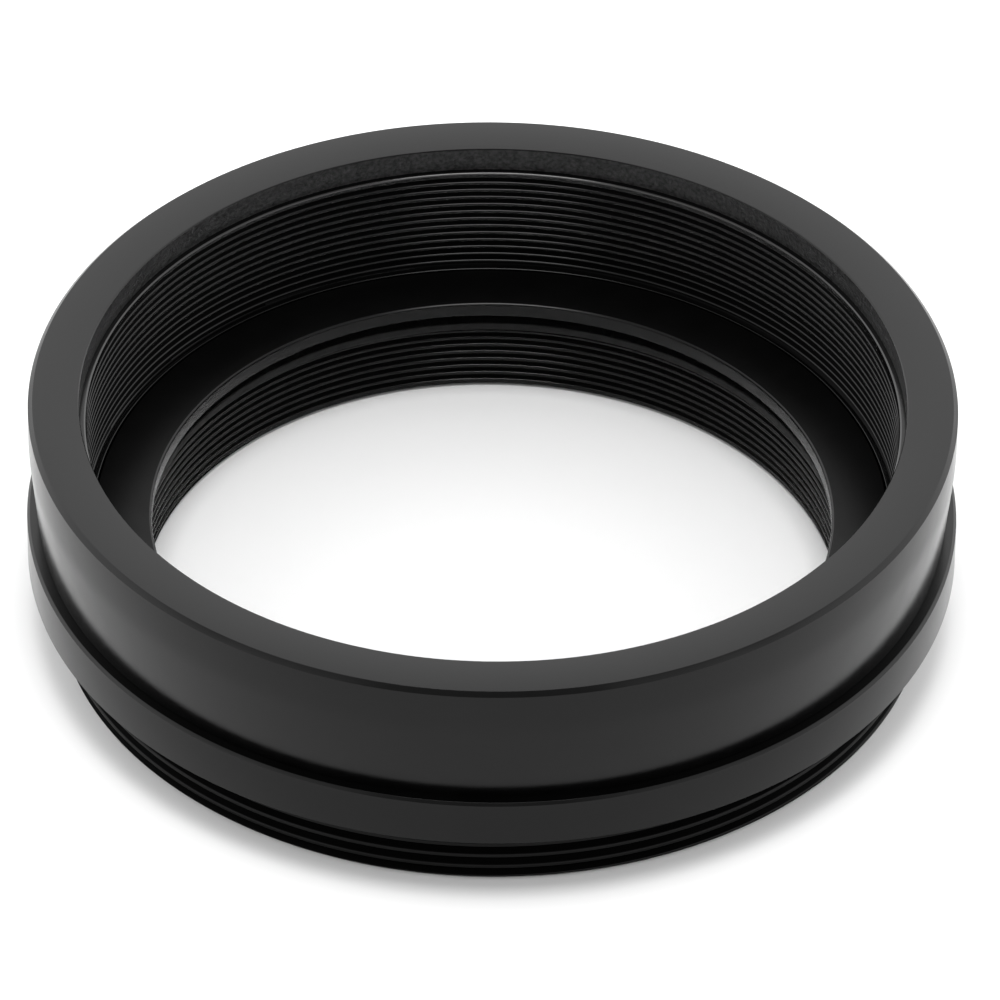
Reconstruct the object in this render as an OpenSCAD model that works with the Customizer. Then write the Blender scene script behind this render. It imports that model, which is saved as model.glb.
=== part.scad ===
// Two inch barlow lens ring: a push-fit barrel over a flanged lens cell with a filter-thread nose.
// Origin at the middle of the bottom face, +Z along the optical axis towards the barrel's mouth.
// Screw threads are drawn as rings of the same pitch and depth, so every wall stays a true cylinder.

/* [Barrel] */
// Outside diameter of the barrel, the two inch push-fit size
barrel_d = 50.8; // [50.6:0.05:50.8]
// Height of the barrel above the flange
barrel_h = 7.5; // [7.5:0.1:12]
// Height of the tapered undercut at the foot of the barrel
undercut_h = 5; // [4:0.1:5.5]
// Depth of the tapered undercut at the flange
undercut_depth = 0.5; // [0.3:0.05:0.6]
// Chamfer round the rim of the barrel
rim_chamfer = 0.25; // [0.1:0.05:0.4]
// Diameter of the plain counterbore in the mouth
counterbore_d = 45.2; // [45.2:0.1:46.4]
// Depth of the plain counterbore
counterbore_depth = 1.4; // [0.8:0.05:1.5]
// Nominal diameter of the female thread in the barrel
barrel_thread_d = 45; // [44.9:0.05:45.1]

/* [Flange and nose] */
// Diameter of the flange band
flange_d = 51.1; // [51.1:0.1:54]
// Height of the flange band
flange_h = 2.85; // [2.85:0.05:4]
// Nominal diameter of the male thread on the nose
nose_thread_d = 48; // [47.9:0.05:48]
// Pitch of the male thread on the nose
nose_pitch = 0.75; // [0.7:0.05:0.8]
// Height of the nose under the flange
nose_h = 3.85; // [3.75:0.05:6]
// Chamfer on the edges of the flange
flange_chamfer = 0.15; // [0.1:0.05:0.3]
// Nominal diameter of the grooved lower bore
lower_thread_d = 39; // [38.9:0.05:39.1]

/* [Lens] */
// Pitch of the fine female threads
fine_pitch = 0.5; // [0.45:0.05:0.5]
// Clear diameter inside the retaining ring
clear_d = 37.4; // [36:0.1:37.5]
// Diameter of the lens
lens_d = 43.2; // [42.8:0.1:43.4]
// Thickness of the lens at its edge
lens_edge = 0.8; // [0.75:0.05:0.9]
// Depth of the shallow hollow in the top of the lens
lens_hollow = 0.35; // [0.2:0.05:0.4]
// Thickness of the retaining ring
ring_h = 0.85; // [0.8:0.05:1]
// Thickness of the washer under the lens
washer_h = 0.45; // [0.3:0.05:0.5]

/* [Hidden] */
$fn = 180;

// 60 degree thread form: flat crests and roots, with the flank rising half its depth over the pitch
FEMALE_DEPTH = 0.5413;
MALE_DEPTH = 0.6134;
FLANK_RUN = 0.5774;
CREST_SHARE = 0.25;
THREAD_TRUNCATION = 1.0825;

// Clearances between the pieces
skirt_clearance = 0.03;
skirt_floor_gap = 0.1;
ring_clearance = 0.08;
pocket_clearance = 0.3;
nose_allowance = 0.05;

// Lands, reliefs and edge breaks
seat_rise = 0.3;
collar_rise = 0.05;
skirt_h = 2;
washer_overhang = 0.2;
lens_land = 0.2;
nose_chamfer = 0.3;
nose_relief_h = 0.6;
nose_relief_depth = 0.55;
nose_relief_slope = 0.1;
bottom_relief_h = 0.2;
bottom_relief_depth = 0.6;
bore_chamfer = 0.1;
thread_land = 0.3;
nose_lead = 0.2;
barrel_lead = 0.1;
lower_lead = 0.05;

// Overrun of a through cut
cut = 1;

// Heights, from the resting face up
flange_z = nose_h;
shoulder_z = flange_z + flange_h;
top_z = shoulder_z + barrel_h;
seat_z = flange_z + seat_rise;
lens_z = seat_z + washer_h;
ring_z = lens_z + lens_edge;
collar_z = ring_z + ring_h + collar_rise;
thread_top_z = top_z - counterbore_depth;
skirt_z = shoulder_z - skirt_h;
socket_floor_z = skirt_z - skirt_floor_gap;

// Radii
barrel_r = barrel_d / 2;
flange_r = flange_d / 2;
skirt_r = 24.2;
collar_r = 22.9;
nose_r = nose_thread_d / 2 - nose_allowance;
nose_relief_r = nose_r - nose_relief_depth;
barrel_bore_r = (barrel_thread_d - THREAD_TRUNCATION * fine_pitch) / 2;
lower_bore_r = (lower_thread_d - THREAD_TRUNCATION * fine_pitch) / 2;
bottom_relief_r = lower_bore_r + bottom_relief_depth;
pocket_r = lens_d / 2 + pocket_clearance;
clear_r = clear_d / 2;

// Rings cut into a bore, listed from low to high: radius r at the crests
function bore_grooves(r, z, pitch, count) = let(
    depth = FEMALE_DEPTH * pitch,
    run = depth * FLANK_RUN,
    root = pitch * (1 - CREST_SHARE) - 2 * run
) [
    for (i = [0 : count - 1])
        let(low = z + i * pitch)
        each [[r, low], [r + depth, low + run], [r + depth, low + run + root], [r, low + 2 * run + root]]
];

// Rings cut into a shaft, listed from low to high: radius r at the crests
function shaft_grooves(r, z, pitch, count) = let(
    depth = MALE_DEPTH * pitch,
    run = depth * FLANK_RUN,
    root = pitch * (1 - CREST_SHARE / 2) - 2 * run
) [
    for (i = [0 : count - 1])
        let(low = z + i * pitch)
        each [[r, low], [r - depth, low + run], [r - depth, low + run + root], [r, low + 2 * run + root]]
];

function reversed(points) = [for (i = [len(points) - 1 : -1 : 0]) points[i]];

function groove_count(low, high, pitch) = floor((high - low) / pitch);

// Flange and threaded nose in one piece, with the lens seat and pocket inside a collar on its upper side
module mount_ring() {
    nose_low = nose_chamfer + nose_lead;
    nose_high = flange_z - nose_relief_h;
    bore_low = bottom_relief_h + lower_lead;
    bore_high = seat_z - lower_lead;
    outside = concat(
        [[nose_r - nose_chamfer, 0], [nose_r, nose_chamfer]],
        shaft_grooves(nose_r, nose_low, nose_pitch, groove_count(nose_low, nose_high, nose_pitch)),
        [
            [nose_r, nose_high - nose_relief_slope],
            [nose_relief_r, nose_high],
            [nose_relief_r, flange_z],
            [flange_r - flange_chamfer, flange_z],
            [flange_r, flange_z + flange_chamfer],
            [flange_r, shoulder_z - flange_chamfer],
            [flange_r - flange_chamfer, shoulder_z],
        ]
    );
    inside = concat(
        [
            [skirt_r + skirt_clearance, shoulder_z],
            [skirt_r + skirt_clearance, socket_floor_z],
            [collar_r, socket_floor_z],
            [collar_r, collar_z],
            [pocket_r, collar_z],
            [pocket_r, seat_z],
            [lower_bore_r, seat_z],
        ],
        reversed(bore_grooves(
            lower_bore_r, bore_low, fine_pitch, groove_count(bore_low, bore_high, fine_pitch)
        )),
        [
            [lower_bore_r, bottom_relief_h],
            [bottom_relief_r, bottom_relief_h],
            [bottom_relief_r, bore_chamfer],
            [bottom_relief_r + bore_chamfer, 0],
        ]
    );
    color("#1c1c1e") rotate_extrude() polygon(concat(outside, inside));
}

// Two inch cylinder, counterbored and threaded inside, with a skirt that goes down round the collar
module barrel() {
    grooves_low = collar_z + barrel_lead;
    grooves_high = thread_top_z - thread_land;
    outside = [
        [skirt_r, skirt_z],
        [skirt_r, shoulder_z],
        [barrel_r - undercut_depth, shoulder_z],
        [barrel_r, shoulder_z + undercut_h],
        [barrel_r, top_z - rim_chamfer],
        [barrel_r - rim_chamfer, top_z],
    ];
    inside = concat(
        [
            [counterbore_d / 2, top_z],
            [counterbore_d / 2, thread_top_z],
            [barrel_bore_r, thread_top_z],
        ],
        reversed(bore_grooves(
            barrel_bore_r, grooves_low, fine_pitch, groove_count(grooves_low, grooves_high, fine_pitch)
        )),
        [
            [barrel_bore_r, collar_z],
            [collar_r + skirt_clearance, collar_z],
            [collar_r + skirt_clearance, skirt_z],
        ]
    );
    color("#222224") rotate_extrude() polygon(concat(outside, inside));
}

// Thin plain ring that clamps the glass
module retaining_ring() {
    color("#18181a") difference() {
        translate([0, 0, ring_z]) cylinder(r = pocket_r - ring_clearance, h = ring_h);
        translate([0, 0, ring_z - cut]) cylinder(r = clear_r, h = ring_h + 2 * cut);
    }
}

// Negative element: flat below, with a shallow spherical hollow above and a flat clamped edge
module lens() {
    hollow_r = clear_r - lens_land;
    sphere_r = (hollow_r * hollow_r + lens_hollow * lens_hollow) / (2 * lens_hollow);
    steps = 12;
    arc = [
        for (i = [0 : steps])
            let(x = hollow_r * (1 - i / steps))
            [x, ring_z - lens_hollow + sphere_r - sqrt(sphere_r * sphere_r - x * x)]
    ];
    outline = concat([[0, lens_z], [lens_d / 2, lens_z], [lens_d / 2, ring_z]], arc);
    color("#d8ecef", 0.25) rotate_extrude() polygon(outline);
}

// Thin washer between the seat and the glass
module seat_washer() {
    color("#0e0e0f") difference() {
        translate([0, 0, seat_z]) cylinder(r = lens_d / 2, h = washer_h);
        translate([0, 0, seat_z - cut]) cylinder(r = lower_bore_r - washer_overhang, h = washer_h + 2 * cut);
    }
}

mount_ring();
barrel();
retaining_ring();
lens();
seat_washer();
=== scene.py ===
"""Two inch barlow lens ring: turned aluminium pieces with true screw threads, round a clear element.

Every turned piece is a lathe outline swept once round the optical axis. A thread's rows rise by one pitch
over the turn, so the sweep closes into a real right-hand helix. The sizes of the pieces are in millimetres.
"""
import math

import bmesh
import bpy
from mathutils import Matrix, Vector


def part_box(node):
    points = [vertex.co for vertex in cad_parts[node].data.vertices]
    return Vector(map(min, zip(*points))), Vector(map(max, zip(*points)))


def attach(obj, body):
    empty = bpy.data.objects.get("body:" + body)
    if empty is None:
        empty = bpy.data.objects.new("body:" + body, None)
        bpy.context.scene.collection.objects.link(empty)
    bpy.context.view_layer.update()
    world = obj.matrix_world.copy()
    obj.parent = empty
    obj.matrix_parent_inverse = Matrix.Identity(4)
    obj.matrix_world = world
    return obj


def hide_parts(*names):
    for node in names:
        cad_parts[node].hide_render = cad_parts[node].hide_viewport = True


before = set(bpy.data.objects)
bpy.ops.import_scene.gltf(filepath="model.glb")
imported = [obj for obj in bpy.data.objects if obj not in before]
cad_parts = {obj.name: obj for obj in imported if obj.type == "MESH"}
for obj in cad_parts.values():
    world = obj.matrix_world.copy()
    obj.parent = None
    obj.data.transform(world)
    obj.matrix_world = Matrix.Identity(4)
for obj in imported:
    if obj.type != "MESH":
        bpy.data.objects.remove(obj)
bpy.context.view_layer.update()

MM = 0.001

# ---------------------------------------------------------------- sizes read from the frame


def heights_and_radius(node):
    """Lowest height, highest height and outer radius of a CAD node, in millimetres."""
    low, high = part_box(node)
    return low.z / MM, high.z / MM, high.y / MM


SKIRT_LOW, BARREL_TOP, BARREL_R = heights_and_radius("barrel")
_, SHOULDER, FLANGE_R = heights_and_radius("mount_ring")
RING_LOW, RING_HIGH, RING_R = heights_and_radius("retaining_ring")
LENS_LOW, LENS_HIGH, LENS_R = heights_and_radius("lens")
SEAT_LOW, SEAT_HIGH, WASHER_R = heights_and_radius("seat_washer")

# ---------------------------------------------------------------- sizes inside the pieces

COLUMNS = 480
FILLET_STEPS = 4
SHARP_ANGLE = math.radians(24)

COUNTERBORE_R = 22.6
COUNTERBORE_DEPTH = 1.4
THREAD_TOP = BARREL_TOP - COUNTERBORE_DEPTH
UNDERCUT_H = 5.0
UNDERCUT_DEPTH = 0.5
UNDERCUT_BLEND = 12.0
RIM_CHAMFER = 0.25
INNER_CHAMFER = 0.06
FLANGE_CHAMFER = 0.15
BARREL_BORE_R = 22.229
SKIRT_R = 24.2
SOCKET_FLOOR = SKIRT_LOW - 0.1
COLLAR_R = 22.9
COLLAR_GAP = 0.03
COLLAR_TOP = RING_HIGH + 0.05
POCKET_R = 21.9
NOSE_TOP = 3.85
NOSE_R = 23.95
NOSE_CHAMFER = 0.3
NOSE_RELIEF_R = 23.4
NOSE_RELIEF_H = 0.6
NOSE_RELIEF_LOW = NOSE_TOP - NOSE_RELIEF_H
LOWER_BORE_R = 19.229
BOTTOM_RELIEF_R = 19.829
BOTTOM_RELIEF_H = 0.2
BOTTOM_CHAMFER = 0.1
WASHER_HOLE_R = LOWER_BORE_R - 0.2
CLEAR_R = 18.7
LENS_HOLLOW_R = CLEAR_R - 0.2
LENS_HOLLOW = 0.35
LENS_STEPS = 24
LIP_FILLET = 0.14
SHELF_FILLET = 0.13
EDGE_FILLET = 0.02
SOFT_FILLET = 0.05

FINE_PITCH = 0.5
NOSE_PITCH = 0.75
FEMALE_DEPTH = 0.54
MALE_DEPTH = 0.61

# Each thread: its low and high ends, the height it fades out over, and the share of a pitch it is raised by
BARREL_THREAD = (COLLAR_TOP + 0.05, THREAD_TOP - 0.2, 0.12, 0.04)
NOSE_THREAD = (NOSE_CHAMFER + 0.05, NOSE_RELIEF_LOW - 0.1, 0.3, 0.0)
LOWER_THREAD = (BOTTOM_RELIEF_H + 0.02, SEAT_LOW - 0.1, 0.08, 0.96)

# Thread form over one pitch: (share of the pitch, share of the depth), with softened crest and root corners
THREAD_FORM = [
    (0.00, 0.0), (0.18, 0.0), (0.22, 0.03), (0.26, 0.10), (0.30, 0.22), (0.54, 0.94), (0.57, 1.0),
    (0.64, 1.0), (0.68, 0.94), (0.94, 0.08),
]

# ---------------------------------------------------------------- lathe outlines


def filleted(corners):
    """Outline points from (radius, height, fillet) corners: a fillet of 0 leaves the corner sharp."""
    points = []
    for i, (r, z, fillet) in enumerate(corners):
        corner = Vector((r, z))
        if not fillet:
            points.append((r, z))
            continue
        before = (Vector(corners[i - 1][:2]) - corner).normalized()
        after = (Vector(corners[(i + 1) % len(corners)][:2]) - corner).normalized()
        half = before.angle(after) / 2
        reach = fillet / math.tan(half)
        centre = corner + (before + after).normalized() * fillet / math.sin(half)
        start = corner + before * reach - centre
        end = corner + after * reach - centre
        for step in range(FILLET_STEPS + 1):
            direction = start.lerp(end, step / FILLET_STEPS).normalized()
            points.append(tuple(centre + direction * fillet))
    return points


def thread_rows(turn, crest_r, depth, pitch, low, high, runout, phase):
    """Points of a right-hand thread between two heights, from low to high, at this share of a turn.

    depth is positive for a groove cut outwards into a bore and negative for one cut into a shaft. runout is
    the height over which the groove fades out at each end, and phase is the share of a pitch it is raised by.
    """
    rows = []
    for k in range(math.ceil((high - low) / pitch) + 3):
        for share, sink in THREAD_FORM:
            z = min(max(low + pitch * (k - 2 + share + turn + phase), low), high)
            fade = min(1.0, (z - low) / runout, (high - z) / runout)
            rows.append((crest_r + depth * sink * fade, z))
    return rows


def barrel_outline(turn):
    outside = filleted([
        (COLLAR_R + COLLAR_GAP, SKIRT_LOW, 0),
        (SKIRT_R, SKIRT_LOW, 0),
        (SKIRT_R, SHOULDER, 0),
        (BARREL_R - UNDERCUT_DEPTH, SHOULDER, 0.04),
        (BARREL_R, SHOULDER + UNDERCUT_H, UNDERCUT_BLEND),
        (BARREL_R, BARREL_TOP - RIM_CHAMFER, EDGE_FILLET),
        (BARREL_R - RIM_CHAMFER, BARREL_TOP, EDGE_FILLET),
        (COUNTERBORE_R + INNER_CHAMFER, BARREL_TOP, 0.01),
        (COUNTERBORE_R, BARREL_TOP - INNER_CHAMFER, 0.01),
        (COUNTERBORE_R, THREAD_TOP, 0),
        (BARREL_BORE_R, THREAD_TOP, SHELF_FILLET),
        (BARREL_BORE_R, COLLAR_TOP, 0),
        (COLLAR_R + COLLAR_GAP, COLLAR_TOP, 0),
    ])
    thread = thread_rows(turn, BARREL_BORE_R, FEMALE_DEPTH * FINE_PITCH, FINE_PITCH, *BARREL_THREAD)
    return outside[:-2] + thread[::-1] + outside[-2:]


def mount_ring_outline(turn):
    nose = thread_rows(turn, NOSE_R, -MALE_DEPTH * NOSE_PITCH, NOSE_PITCH, *NOSE_THREAD)
    bore = thread_rows(turn, LOWER_BORE_R, FEMALE_DEPTH * FINE_PITCH, FINE_PITCH, *LOWER_THREAD)
    foot = filleted([
        (BOTTOM_RELIEF_R + BOTTOM_CHAMFER, 0, 0),
        (NOSE_R - NOSE_CHAMFER, 0, SOFT_FILLET),
        (NOSE_R, NOSE_CHAMFER, SOFT_FILLET),
        (NOSE_R, NOSE_CHAMFER + 0.04, 0),
    ])
    flange = filleted([
        (NOSE_R, NOSE_RELIEF_LOW - 0.05, 0),
        (NOSE_RELIEF_R, NOSE_RELIEF_LOW, 0),
        (NOSE_RELIEF_R, NOSE_TOP, 0.1),
        (FLANGE_R - FLANGE_CHAMFER, NOSE_TOP, EDGE_FILLET),
        (FLANGE_R, NOSE_TOP + FLANGE_CHAMFER, EDGE_FILLET),
        (FLANGE_R, SHOULDER - FLANGE_CHAMFER, EDGE_FILLET),
        (FLANGE_R - FLANGE_CHAMFER, SHOULDER, EDGE_FILLET),
        (SKIRT_R + COLLAR_GAP, SHOULDER, 0),
        (SKIRT_R + COLLAR_GAP, SOCKET_FLOOR, 0),
        (COLLAR_R, SOCKET_FLOOR, 0),
        (COLLAR_R, COLLAR_TOP, 0),
        (POCKET_R, COLLAR_TOP, SOFT_FILLET),
        (POCKET_R, SEAT_LOW, 0),
        (LOWER_BORE_R, SEAT_LOW, 0.03),
        (LOWER_BORE_R, SEAT_LOW - 0.09, 0),
    ])
    relief = [
        (LOWER_BORE_R, BOTTOM_RELIEF_H),
        (BOTTOM_RELIEF_R, BOTTOM_RELIEF_H),
        (BOTTOM_RELIEF_R, BOTTOM_CHAMFER),
    ]
    return foot + nose + flange + bore[::-1] + relief


def retaining_ring_outline(_):
    return filleted([
        (CLEAR_R, RING_LOW, 0.04),
        (RING_R, RING_LOW, 0.04),
        (RING_R, RING_HIGH, 0.06),
        (CLEAR_R, RING_HIGH, LIP_FILLET),
    ])


def seat_washer_outline(_):
    return filleted([
        (WASHER_HOLE_R, SEAT_LOW, SOFT_FILLET),
        (WASHER_R, SEAT_LOW, SOFT_FILLET),
        (WASHER_R, SEAT_HIGH, SOFT_FILLET),
        (WASHER_HOLE_R, SEAT_HIGH, 0.08),
    ])


def lens_outline(_):
    sphere_r = (LENS_HOLLOW_R ** 2 + LENS_HOLLOW ** 2) / (2 * LENS_HOLLOW)
    edge = filleted([
        (0, LENS_LOW, 0),
        (LENS_R, LENS_LOW, 0.12),
        (LENS_R, LENS_HIGH, 0.12),
        (LENS_HOLLOW_R, LENS_HIGH, 0),
    ])
    arc = []
    for i in range(1, LENS_STEPS + 1):
        r = LENS_HOLLOW_R * (1 - i / LENS_STEPS)
        arc.append((r, LENS_HIGH - LENS_HOLLOW + sphere_r - math.sqrt(sphere_r ** 2 - r ** 2)))
    return edge + arc


# ---------------------------------------------------------------- meshes


def turned_piece(name, outline, material):
    """A closed solid swept from outline(share of a turn), a loop of (radius, height) points."""
    mesh = bmesh.new()
    columns = []
    for i in range(COLUMNS + 1):
        angle = 2 * math.pi * i / COLUMNS
        ring = outline(i / COLUMNS)
        columns.append([
            mesh.verts.new((r * math.cos(angle) * MM, r * math.sin(angle) * MM, z * MM)) for r, z in ring
        ])
    for here, there in zip(columns, columns[1:]):
        for j in range(len(here)):
            k = (j + 1) % len(here)
            mesh.faces.new((here[j], there[j], there[k], here[k]))
    bmesh.ops.remove_doubles(mesh, verts=mesh.verts, dist=1e-7)
    bmesh.ops.dissolve_degenerate(mesh, edges=mesh.edges, dist=1e-7)
    bmesh.ops.recalc_face_normals(mesh, faces=mesh.faces)
    data = bpy.data.meshes.new(name)
    mesh.to_mesh(data)
    mesh.free()
    data.materials.append(material)
    piece = bpy.data.objects.new(name, data)
    bpy.context.scene.collection.objects.link(piece)
    data.shade_smooth()
    data.set_sharp_from_angle(angle=SHARP_ANGLE)
    return piece


# ---------------------------------------------------------------- materials

# The stretch of a noise's output that a range or a tint is spread over
NOISE_LOW = 0.3
NOISE_HIGH = 0.7


class Recipe:
    """A Principled material with short calls for the nodes that feed it."""

    def __init__(self, name):
        self.material = bpy.data.materials.new(name)
        self.material.use_nodes = True
        self.tree = self.material.node_tree
        self.shader = self.tree.nodes["Principled BSDF"]
        self.place = self.tree.nodes.new("ShaderNodeTexCoord").outputs["Object"]

    def noise(self, grain_mm, detail):
        node = self.tree.nodes.new("ShaderNodeTexNoise")
        node.inputs["Scale"].default_value = 1 / (grain_mm * MM)
        node.inputs["Detail"].default_value = detail
        self.tree.links.new(self.place, node.inputs["Vector"])
        return node.outputs["Fac"]

    def spread(self, source, low, high):
        """Noise output spread to a range of numbers, centred on its middle."""
        node = self.tree.nodes.new("ShaderNodeMapRange")
        node.inputs["From Min"].default_value = NOISE_LOW
        node.inputs["From Max"].default_value = NOISE_HIGH
        node.inputs["To Min"].default_value = low
        node.inputs["To Max"].default_value = high
        self.tree.links.new(source, node.inputs["Value"])
        return node.outputs["Result"]

    def tint(self, source, dark, light):
        node = self.tree.nodes.new("ShaderNodeValToRGB")
        node.color_ramp.elements[0].position = NOISE_LOW
        node.color_ramp.elements[0].color = (*dark, 1)
        node.color_ramp.elements[1].position = NOISE_HIGH
        node.color_ramp.elements[1].color = (*light, 1)
        self.tree.links.new(source, node.inputs["Fac"])
        self.tree.links.new(node.outputs["Color"], self.shader.inputs["Base Color"])

    def bump(self, source, depth_mm):
        node = self.tree.nodes.new("ShaderNodeBump")
        node.inputs["Distance"].default_value = depth_mm * MM
        node.inputs["Strength"].default_value = 1.0
        self.tree.links.new(source, node.inputs["Height"])
        return node.outputs["Normal"]

    def plug(self, source, socket):
        self.tree.links.new(source, self.shader.inputs[socket])

    def set(self, **values):
        for socket, value in values.items():
            self.shader.inputs[socket.replace("_", " ")].default_value = value


def anodised(name, grain_mm, grain_depth, roughness, dark, light, coat_ior, mottle_mm=3.0):
    """Black anodised aluminium: a fine etched grain under a clear hard coat."""
    recipe = Recipe(name)
    recipe.tint(recipe.noise(mottle_mm, 3), (dark,) * 3, (light,) * 3)
    recipe.plug(recipe.spread(recipe.noise(1.3, 4), roughness - 0.02, roughness + 0.02), "Roughness")
    recipe.plug(recipe.bump(recipe.noise(grain_mm, 4), grain_depth), "Normal")
    recipe.set(IOR=coat_ior)
    return recipe.material


def rubber(name):
    recipe = Recipe(name)
    recipe.tint(recipe.noise(0.8, 3), (0.003, 0.003, 0.003), (0.005, 0.005, 0.005))
    recipe.plug(recipe.spread(recipe.noise(0.5, 3), 0.55, 0.7), "Roughness")
    recipe.plug(recipe.bump(recipe.noise(0.12, 3), 0.008), "Normal")
    recipe.set(IOR=1.3)
    return recipe.material


def coated_glass(name):
    """Clear glass with an anti-reflection coat: almost all light passes."""
    recipe = Recipe(name)
    recipe.set(Base_Color=(0.01, 0.01, 0.01, 1), Roughness=0.02, Alpha=0.015, IOR=1.5)
    return recipe.material


def floor_white(name):
    recipe = Recipe(name)
    recipe.set(Base_Color=(0.80, 0.80, 0.80, 1), Roughness=0.9)
    recipe.shader.inputs["Specular IOR Level"].default_value = 0.0
    return recipe.material


satin = anodised("anodised_satin", 0.09, 0.0008, 0.20, 0.0004, 0.0008, 1.28)
blasted = anodised("anodised_blasted", 0.22, 0.06, 0.42, 0.0005, 0.022, 1.28, mottle_mm=0.22)
matt = anodised("anodised_matt", 0.12, 0.002, 0.36, 0.0006, 0.0010, 1.2)
dull = anodised("anodised_dull", 0.12, 0.001, 0.60, 0.0003, 0.0006, 1.1)
worn = anodised("anodised_worn_edge", 0.09, 0.0005, 0.16, 0.0010, 0.0020, 1.45)

# ---------------------------------------------------------------- the pieces


def refinish(piece, material, chosen):
    """Give a second finish to the faces whose radius and height, in millimetres, pass the test."""
    piece.data.materials.append(material)
    slot = len(piece.data.materials) - 1
    for face in piece.data.polygons:
        centre = face.center / MM
        if chosen(math.hypot(centre.x, centre.y), centre.z):
            face.material_index = slot


# The grooves have a duller finish than the crests, which is an assumed look
GROOVE_REACH = 0.3
CREST_LAND = 0.05


def is_barrel_groove(r, z):
    in_wall = BARREL_BORE_R + CREST_LAND < r < BARREL_BORE_R + GROOVE_REACH
    return in_wall and COLLAR_TOP < z < THREAD_TOP - 0.15


def is_counterbore(r, z):
    return abs(r - COUNTERBORE_R) < 0.02 and THREAD_TOP < z < BARREL_TOP - 0.03


def is_shelf_edge(r, z):
    in_edge = BARREL_BORE_R < r < BARREL_BORE_R + SHELF_FILLET
    return in_edge and THREAD_TOP - SHELF_FILLET < z < THREAD_TOP


def is_cell_groove(r, z):
    in_bore = LOWER_BORE_R + CREST_LAND < r < LOWER_BORE_R + GROOVE_REACH and z < SEAT_LOW - 0.1
    on_nose = NOSE_RELIEF_R - 0.1 < r < NOSE_R - CREST_LAND and NOSE_CHAMFER < z < NOSE_RELIEF_LOW
    return in_bore or on_nose


def is_nose_crest(r, z):
    return NOSE_R - CREST_LAND < r < NOSE_R + 0.01 and z < NOSE_TOP


def is_ring_face(r, z):
    return r > CLEAR_R + LIP_FILLET and z > RING_HIGH - 0.02


barrel = turned_piece("turned_barrel", barrel_outline, satin)
refinish(barrel, blasted, is_counterbore)
refinish(barrel, dull, is_barrel_groove)
refinish(barrel, worn, is_shelf_edge)
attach(barrel, "barrel")
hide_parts("barrel")

mount_ring = turned_piece("turned_mount_ring", mount_ring_outline, satin)
refinish(mount_ring, dull, is_cell_groove)
refinish(mount_ring, matt, is_nose_crest)
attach(mount_ring, "cell")
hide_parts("mount_ring")

retaining_ring = turned_piece("turned_retaining_ring", retaining_ring_outline, satin)
refinish(retaining_ring, matt, is_ring_face)
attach(retaining_ring, "ring")
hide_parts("retaining_ring")

lens = turned_piece("ground_lens", lens_outline, coated_glass("coated_glass"))
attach(lens, "lens")
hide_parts("lens")

washer = turned_piece("moulded_washer", seat_washer_outline, rubber("washer_rubber"))
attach(washer, "cell")
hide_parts("seat_washer")

# ---------------------------------------------------------------- floor, light and camera

FLOOR_HALF = 3.0

floor_mesh = bpy.data.meshes.new("floor")
corners = [(-FLOOR_HALF, -FLOOR_HALF, 0), (FLOOR_HALF, -FLOOR_HALF, 0),
           (FLOOR_HALF, FLOOR_HALF, 0), (-FLOOR_HALF, FLOOR_HALF, 0)]
floor_mesh.from_pydata(corners, [], [(0, 1, 2, 3)])
floor_mesh.materials.append(floor_white("floor_white"))
floor = bpy.data.objects.new("floor", floor_mesh)
bpy.context.scene.collection.objects.link(floor)

# The room is bright all round and darkens towards a patch overhead, leaning to the viewer's side
SKY_DARK_POLE = (0, -0.35, 0.94)
SKY_BRIGHT = 2.6
SKY_DARK = 0.5
SKY_FADE_START = 0.35
SKY_FADE_END = 0.92

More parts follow.
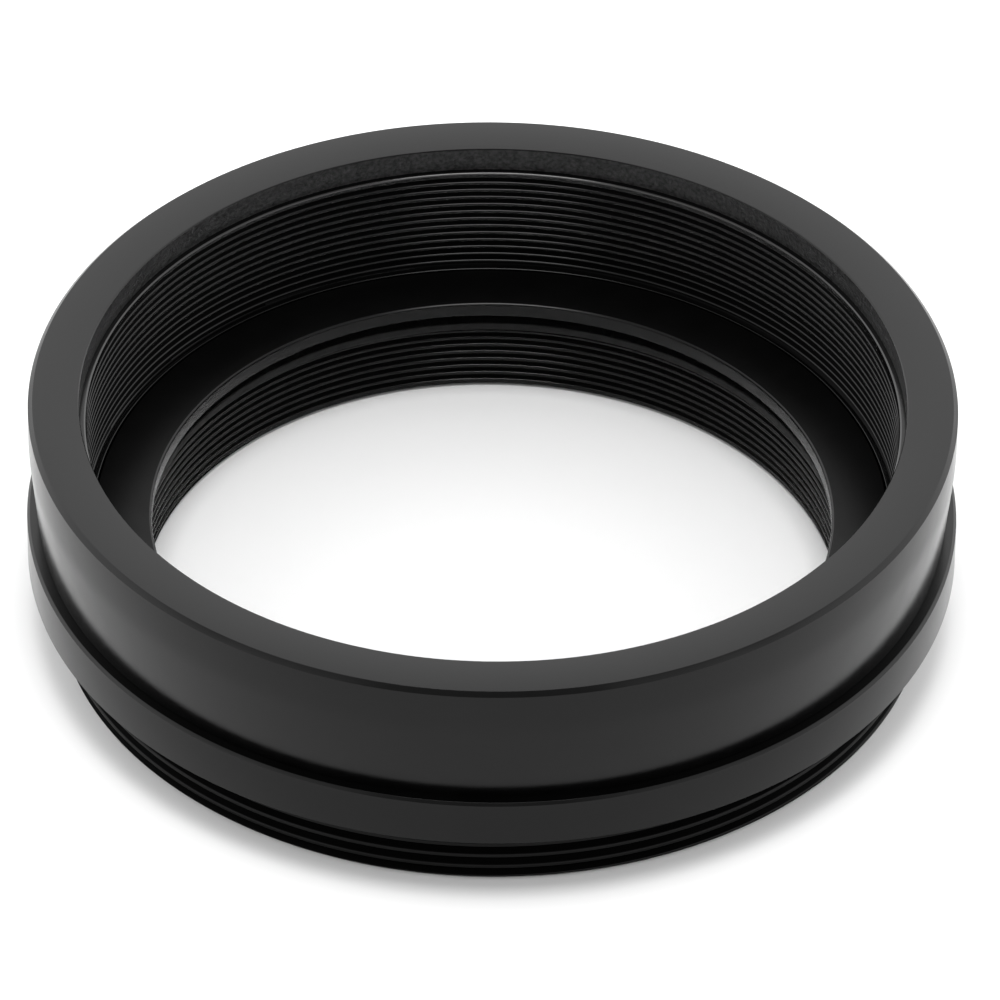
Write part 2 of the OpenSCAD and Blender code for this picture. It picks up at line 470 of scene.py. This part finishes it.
world = bpy.data.worlds.new("studio")
bpy.context.scene.world = world
world.use_nodes = True
sky = world.node_tree.nodes
links = world.node_tree.links
direction = sky.new("ShaderNodeTexCoord")
closeness = sky.new("ShaderNodeVectorMath")
closeness.operation = "DOT_PRODUCT"
closeness.inputs[1].default_value = SKY_DARK_POLE
glow = sky.new("ShaderNodeMapRange")
glow.interpolation_type = "SMOOTHSTEP"
glow.inputs["From Min"].default_value = SKY_FADE_START
glow.inputs["From Max"].default_value = SKY_FADE_END
glow.inputs["To Min"].default_value = SKY_BRIGHT
glow.inputs["To Max"].default_value = SKY_DARK
links.new(direction.outputs["Generated"], closeness.inputs[0])
links.new(closeness.outputs["Value"], glow.inputs["Value"])
links.new(glow.outputs["Result"], sky["Background"].inputs["Strength"])
sky["Background"].inputs["Color"].default_value = (1, 1, 1, 1)


def soft_box(name, place, size, power):
    """A square lamp that faces the piece."""
    light = bpy.data.lights.new(name, "AREA")
    light.shape = "SQUARE"
    light.size = size
    light.energy = power
    lamp = bpy.data.objects.new(name, light)
    lamp.location = place
    lamp.rotation_euler = (-Vector(place)).to_track_quat("-Z", "Y").to_euler()
    bpy.context.scene.collection.objects.link(lamp)


soft_box("overhead", (0, -0.10, 0.79), 0.32, 3.8)
soft_box("front_left", (-0.50, -0.42, 0.55), 0.4, 0.3)
soft_box("front_right", (0.50, -0.42, 0.55), 0.4, 0.3)

CAMERA_DISTANCE = 24 * BARREL_R
CAMERA_ELEVATION = math.radians(38.1)
CAMERA_LENS = 402.0
CAMERA_ROLL = math.radians(0.7)
AIM = Vector((0.445, 0, BARREL_TOP - 0.2815 * BARREL_R))

rim_centre = Vector((0, 0, BARREL_TOP))
towards_camera = Vector((0, -math.cos(CAMERA_ELEVATION), math.sin(CAMERA_ELEVATION)))
camera_place = rim_centre + CAMERA_DISTANCE * towards_camera
camera_data = bpy.data.cameras.new("camera")
camera_data.lens = CAMERA_LENS
camera_data.sensor_width = 36
camera_data.clip_start = 0.01
camera_data.clip_end = 20
camera = bpy.data.objects.new("camera", camera_data)
gaze = (AIM - camera_place).to_track_quat("-Z", "Y").to_matrix().to_4x4()
camera.matrix_world = Matrix.Translation(camera_place * MM) @ gaze @ Matrix.Rotation(CAMERA_ROLL, 4, "Z")
bpy.context.scene.collection.objects.link(camera)
bpy.context.scene.camera = camera
bpy.context.scene.view_settings.view_transform = "Standard"
